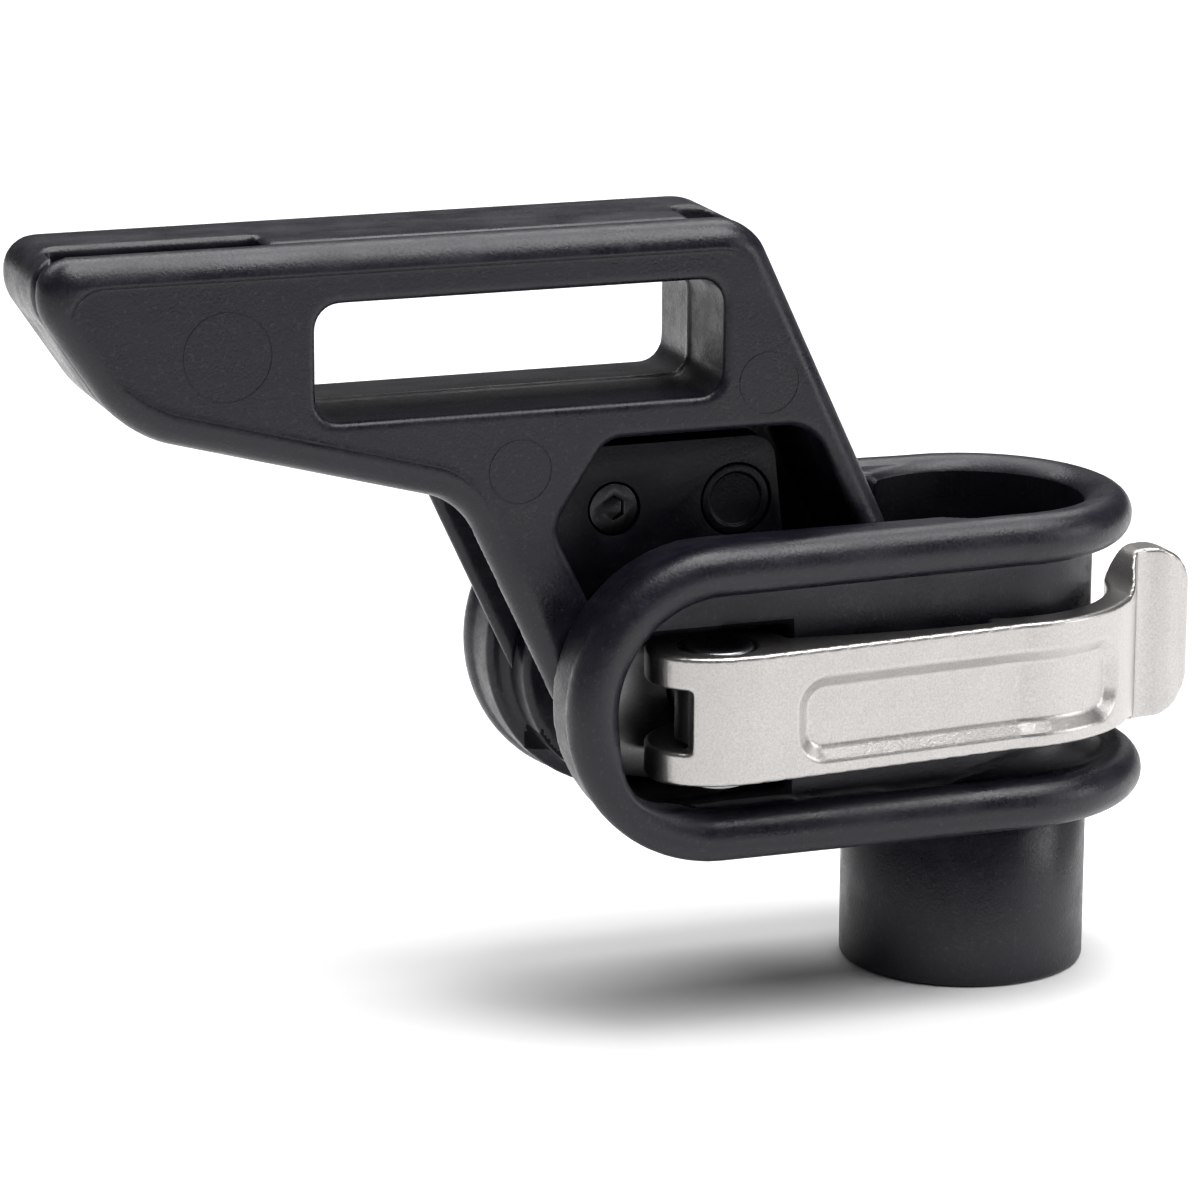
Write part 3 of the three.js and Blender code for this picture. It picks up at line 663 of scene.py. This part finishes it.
def makeArm():
    low, high = boxOf("swivel_arm")
    half, left, top = high.y, low.x - tilt.x, high.z - tilt.z
    front = -half + arm["rail"]
    before = -half - past
    piece = armPlates(left, top, half, front)
    cut(piece, rimmed(left, top, arm["rim"], before, -half + arm["rimStep"]), slotCutter(half))
    cut(piece, *armHollows(half), *topHollows(left, top, front))
    holeEnd = half - arm["holeFloor"]
    cut(piece, cylinder(arm["screwHole"], 0, holeEnd, "y", arm["screw"], 32))
    cut(piece, cylinder(arm["dowelHole"], 0, holeEnd, "y", arm["dowel"], 48))
    mould(piece, arm["voxel"], arm["passes"])

    # the fine line inside the rim, and the ejector marks
    face = -half + arm["rimStep"]
    lineWidth, lineDepth = arm["rimLine"]
    line = rimmed(left, top, arm["rim"], before, face + lineDepth)
    cut(line, rimmed(left, top, arm["rim"] + lineWidth, before - past, 0))
    marks = [line]
    for x, z, radius in arm["marks"]:
        ring = cylinder(radius, before, face + arm["markDepth"], "y", (x, z), 64)
        marks.append(cut(ring, cylinder(radius - arm["markWidth"], before - past, 0, "y", (x, z), 64)))
    cut(piece, *marks)
    piece.data.transform(Matrix.Translation(tilt))
    return finishPiece(piece, "swivelArm", "arm", nylon, "moulded_nylon", "swivel_arm", crease=50)


# Places on the lever are measured from its pin.
lever = {
    "half": 7.75,          # half the lever's height
    "face": 6.3, "wrap": 20.4, "thick": 3.6, "thin": 2.4, "cam": 8.7, "camOffset": 0.3,
    "tabReach": 29.6, "tabHeight": 21.5, "headFlat": 1, "notch": 7.5, "eye": 5, "pin": 2, "pinHead": 4.3,
    "play": 0.3,           # round the pin
    "headSeat": 1.1,       # how deep the pin's head sits
    "tabEdge": 1.5,        # rounding of the tab's end, seen from above
    "curl": (5.2, 2.6),    # where the tab turns up: back from its end, in front of the wrap's axis
    "valley": (1.9, 2.9),  # the dip before it: past the wrap, in front of its axis
    "panel": (7.9, 53.6, -6.1, 4.4), "panelRadius": 3.9, "panelDepth": 1.15, "panelSlope": 1.7,
    "panelStart": 6,       # nothing is pressed in nearer the pin than this
    "flare": (3.4, -0.6),  # where the strip begins to flare, back from the wrap, and where the tab is full
    "flareCorners": (4, 3), "tabCorner": 6.2,
    "voxel": 0.26, "passes": 5, "snap": (0.03, 0.1),
}


def quadratic(start, control, end, steps=8):
    shares = [k / steps for k in range(1, steps + 1)]
    return [tuple((1 - t) ** 2 * a + 2 * t * (1 - t) * b + t * t * c
                  for a, b, c in zip(start, control, end)) for t in shares]


# The lever from above: along the strip, round the collar, out to the tab, and back on the inner side
# to the eccentric head.
def leverOutline(axis):
    face, flat, edge = lever["face"], lever["headFlat"], lever["tabEdge"]
    inner = lever["wrap"] - lever["thick"]
    tabX = lever["tabReach"] + axis.x
    wrapStart, wrapEnd, tabStart = -94, -26, -18   # degrees round the wrap's axis

    def around(radius, start, end, steps):
        return arc(axis, radius, start, end, steps)

    outer = [(3, -face)] + around(lever["wrap"], wrapStart, wrapEnd, 24)
    foot = around(lever["wrap"], tabStart, tabStart, 1)[0]
    curl = (tabX - lever["curl"][0], axis.y - lever["curl"][1])
    valley = (foot[0] + lever["valley"][0], axis.y - lever["valley"][1])
    outer += quadratic(outer[-1], foot, valley)
    outer += quadratic(valley, (valley[0] + 1.3, valley[1] + 0.6), curl)
    outer += quadratic(curl, (tabX - 2.6, curl[1] - 0.2), (tabX - edge, axis.y - edge))[:-1]
    outer += arc((tabX - edge, axis.y), edge, -90, 90, 10)
    outer += [(curl[0], axis.y + 1.6)]
    meets = around(inner, tabStart + 4, tabStart + 4, 1)[0]
    outer += quadratic(outer[-1], (foot[0] - 0.6, axis.y + 1.2), meets)
    outer += around(inner, tabStart, wrapStart - 12, 30)
    pad = (outer[-1][0] - 0.4, outer[-1][1] - 2.0)
    outer += [pad] + quadratic(pad, (22, -face + 2.6 + lever["thin"]), (9, 0.5))
    outer += arc((lever["camOffset"], lever["camOffset"]), lever["cam"], 2, 180, 24)
    end = lever["camOffset"] - lever["cam"]
    outer += [(flat + (flat - end) * a, face * b) for a, b in arc((0, 0), 1, 180, 270, 16)]
    return [(x, y, 0) for x, y in outer]


# How far a point of the lever's face lies inside the pressed panel's edge.
def insidePanel(co, axis):
    left, right, low, high = lever["panel"]
    along = co.x
    if co.x > axis.x:
        along = axis.x + lever["wrap"] * math.atan2(co.x - axis.x, axis.y - co.y)
    radius = lever["panelRadius"]
    across = abs(along - (left + right) / 2) - (right - left) / 2 + radius
    up = abs(co.z - (low + high) / 2) - (high - low) / 2 + radius
    return radius - min(max(across, up), 0) - math.hypot(max(across, 0), max(up, 0))


def pressPanel(piece, axis):
    bm = bmesh.new()
    bm.from_mesh(piece.data)
    bm.normal_update()
    moves = {}
    for v in bm.verts:
        outward = Vector((0, -1, 0))
        if v.co.x > axis.x:
            outward = (v.co - Vector((axis.x, axis.y, v.co.z))).normalized()
        if v.normal.dot(outward) < 0.6 or v.co.x < lever["panelStart"]:
            continue
        share = min(max(insidePanel(v.co, axis) / lever["panelSlope"], 0), 1)
        moves[v] = outward * (-lever["panelDepth"] * share)
    for v, move in moves.items():
        v.co += move
    bm.to_mesh(piece.data)
    bm.free()


def makeLever():
    axis = Vector((-pin.x, -pin.y))
    half, eye, play = lever["half"], lever["eye"], lever["play"]
    reach, tall = axis.x + lever["tabReach"], lever["tabHeight"] / 2
    start, full = (axis.x + lever["wrap"] - back for back in lever["flare"])
    startCorner, fullCorner = lever["flareCorners"]
    corner = lever["tabCorner"]
    behind = -20
    piece = prism(leverOutline(axis), -2 * tall, 2 * tall)
    side = [(behind, -half, 0), (start, -half, startCorner), (full, -tall, fullCorner),
            (reach, -tall, corner), (reach, tall, corner),
            (full, tall, fullCorner), (start, half, startCorner), (behind, half, 0)]
    combine(piece, prism(side, -40, 60, "y"), "INTERSECT")
    notch = lever["notch"] / 2
    cut(piece, cylinder(eye + 0.5, -notch, notch, sides=64))
    cut(piece, prism(rectangle(behind, 0.2 - eye, behind, 20), -notch, notch))
    cut(piece, prism(rectangle(behind, 3.5, 0, 20), -notch, notch))
    cut(piece, cylinder(lever["pin"] + play, -half - past, half + past, sides=48))
    cut(piece, cylinder(lever["pinHead"] + play, half - lever["headSeat"], half + past, sides=64))
    mould(piece, lever["voxel"], lever["passes"], lever["snap"])
    pressPanel(piece, axis)
    piece.data.transform(Matrix.Translation(pin))
    return finishPiece(piece, "camLever", "lever", alloy, "satin_alloy", "cam_lever")


# The pin's heights are measured from the lever's two faces.
pinLook = {
    "head": 4.3, "shank": 2, "clipGroove": 1.5,
    "tail": 1.7, "tailChamfer": 0.3, "grooveLow": 1.1, "grooveHigh": 0.3,
    "headFoot": 0.8, "headChamfer": 0.1, "headProud": 0.1, "headEdge": 0.45,
    "dish": ((0.9, 0), (1.6, 0.5)), "dishDepth": 0.62,   # the dish in the head: in from its edge, down
}


def makePin():
    p = pinLook
    half, head, shank, groove = lever["half"], p["head"], p["shank"], p["clipGroove"]
    crown = half + p["headProud"]
    tail = -half - p["tail"]
    chamfer = p["tailChamfer"]
    low, high = -half - p["grooveLow"], -half - p["grooveHigh"]
    foot = half - p["headFoot"]
    bend = p["headEdge"]
    section = [(0, tail), (shank - chamfer, tail), (shank, tail + chamfer), (shank, low)]
    section += [(groove, low), (groove, high), (shank, high), (shank, foot)]
    section += [(head - p["headChamfer"], foot), (head, foot + p["headChamfer"])]
    section += arc((head - bend, crown - bend), bend, 0, 90, 6)
    section += [(head - inward, crown - down) for inward, down in p["dish"]] + [(0, crown - p["dishDepth"])]
    piece = turned(section, 72, closed=False)
    piece.data.transform(Matrix.Translation(pin))
    return finishPiece(piece, "leverPin", "lever", pinSteel, "steel", "lever_pin", crease=40)


# Pieces that keep the shape of their node, with its edges broken.
smallPieces = {
    # node: body, material, slot, width of the broken edge in millimetres
    # the core and its dowel take the nylon darkened as painted shade
    "hub_core": ("arm", shadedCoreNylon, "moulded_nylon", 0.35),
    "core_screw": ("arm", darkSteel, "steel", 0.15),
    "core_dowel": ("arm", shadedCoreNylon, "moulded_nylon", 0.2),
    "tension_rod": ("collar", steel, "steel", 0.2),
    "rear_lock_nut": ("collar", steel, "steel", 0.3),
    "rear_washer": ("collar", steel, "steel", 0.12),
    "nut_lock_washer": ("collar", steel, "steel", 0.1),
    "cam_saddle": ("collar", steel, "steel", 0.12),
    "pin_clip": ("lever", steel, "steel", 0.1),
    "thrust_washer": ("socket", acetal, "acetal", 0.1),
    "socket_snap_ring": ("socket", steel, "steel", 0.12),
}


def makeSmallPiece(node, body, material, slotName, edge):
    bm = bmesh.new()
    bm.from_mesh(frame["nodes"][node].data)
    bmesh.ops.remove_doubles(bm, verts=bm.verts, dist=tiny)
    bmesh.ops.dissolve_limit(bm, angle_limit=math.radians(1), verts=bm.verts, edges=bm.edges)
    place(bm, Matrix.Scale(1 / toMetres, 4))
    piece = asObject(node, bm)
    bevel = piece.modifiers.new("broken edge", "BEVEL")
    bevel.width = edge
    bevel.segments = 3
    bevel.limit_method = "ANGLE"
    bevel.angle_limit = math.radians(40)
    applyModifiers(piece)
    words = node.split("_")
    name = words[0] + "".join(word.capitalize() for word in words[1:])
    return finishPiece(piece, name, body, material, slotName, node, crease=35)


# Nodes whose own shape is right, and which only get a finish.
dressedNodes = {
    "pivot_bush": bronze,
    "release_spring": steel,
    "front_friction_disc": acetal,
    "rear_friction_disc": acetal,
}


def dressNode(node, material):
    mesh = frame["nodes"][node].data
    mesh.materials.clear()
    mesh.materials.append(material)
    mesh.shade_smooth()
    mesh.set_sharp_from_angle(angle=math.radians(35))
    print(f"{node}: dressed")


stage = {
    "floor": 6.0,
    "floorShades": ((0.90, 0.90, 0.90), (0.92, 0.92, 0.92)), "floorPatch": 40,
    "lights": {
        "key": {"at": (0.14, -0.16, 0.85), "size": (0.6, 0.8), "power": 10.5, "aim": (-0.04, 0, 0.05)},
        "right": {"at": (0.80, -0.50, 0.30), "size": (0.45, 0.45), "power": 2.4, "aim": (-0.04, 0, 0.05)},
        "sweep": {"at": (-0.1, 1.0, 1.4), "size": (2.6, 1.0), "power": 34, "aim": (-0.1, 1.0, 0)},
    },
    "world": 0.10,
    "camera": {"at": (-0.258461, -0.584372, 0.209776), "azimuth": 0.34628, "down": 0.25359,
               "roll": 0.00436, "lens": 162.04, "sensor": 36, "nearest": 0.01},
}


def makeFloor():
    bm = bmesh.new()
    bmesh.ops.create_grid(bm, x_segments=2, y_segments=2, size=stage["floor"] / 2)
    floor = asObject("floor", bm)
    finish = Finish("pale floor", Roughness=0.9, Specular_IOR_Level=0.1)
    finish.set(Base_Color=finish.mixed(finish.noise(stage["floorPatch"], 2), *stage["floorShades"]))
    floor.data.materials.append(finish.material)


def softLight(name, at, size, power, aim):
    lamp = bpy.data.lights.new(name, "AREA")
    lamp.shape = "RECTANGLE"
    lamp.size, lamp.size_y = size
    lamp.energy = power
    light = bpy.data.objects.new(name, lamp)
    light.location = at
    light.rotation_euler = (Vector(aim) - Vector(at)).to_track_quat("-Z", "Y").to_euler()
    bpy.context.scene.collection.objects.link(light)


def makeCamera():
    look = stage["camera"]
    data = bpy.data.cameras.new("camera")
    data.lens = look["lens"]
    data.sensor_width = look["sensor"]
    data.clip_start = look["nearest"]
    camera = bpy.data.objects.new("camera", data)
    turn = Matrix.Rotation(-look["azimuth"], 4, "Z") @ Matrix.Rotation(math.pi / 2 - look["down"], 4, "X")
    camera.matrix_world = Matrix.Translation(look["at"]) @ turn @ Matrix.Rotation(look["roll"], 4, "Z")
    bpy.context.scene.collection.objects.link(camera)
    bpy.context.scene.camera = camera


def makeStage():
    makeFloor()
    for name, values in stage["lights"].items():
        softLight(name, **values)
    world = bpy.data.worlds.new("studio")
    world.use_nodes = True
    world.node_tree.nodes["Background"].inputs["Color"].default_value = (1, 1, 1, 1)
    world.node_tree.nodes["Background"].inputs["Strength"].default_value = stage["world"]
    bpy.context.scene.world = world
    bpy.context.scene.view_settings.view_transform = "Standard"
    makeCamera()
    print("stage made")


makeStage()
makeTube()
makeCollar()
makeArm()
makeLever()
makePin()
for node, values in smallPieces.items():
    makeSmallPiece(node, *values)
for node, material in dressedNodes.items():
    dressNode(node, material)
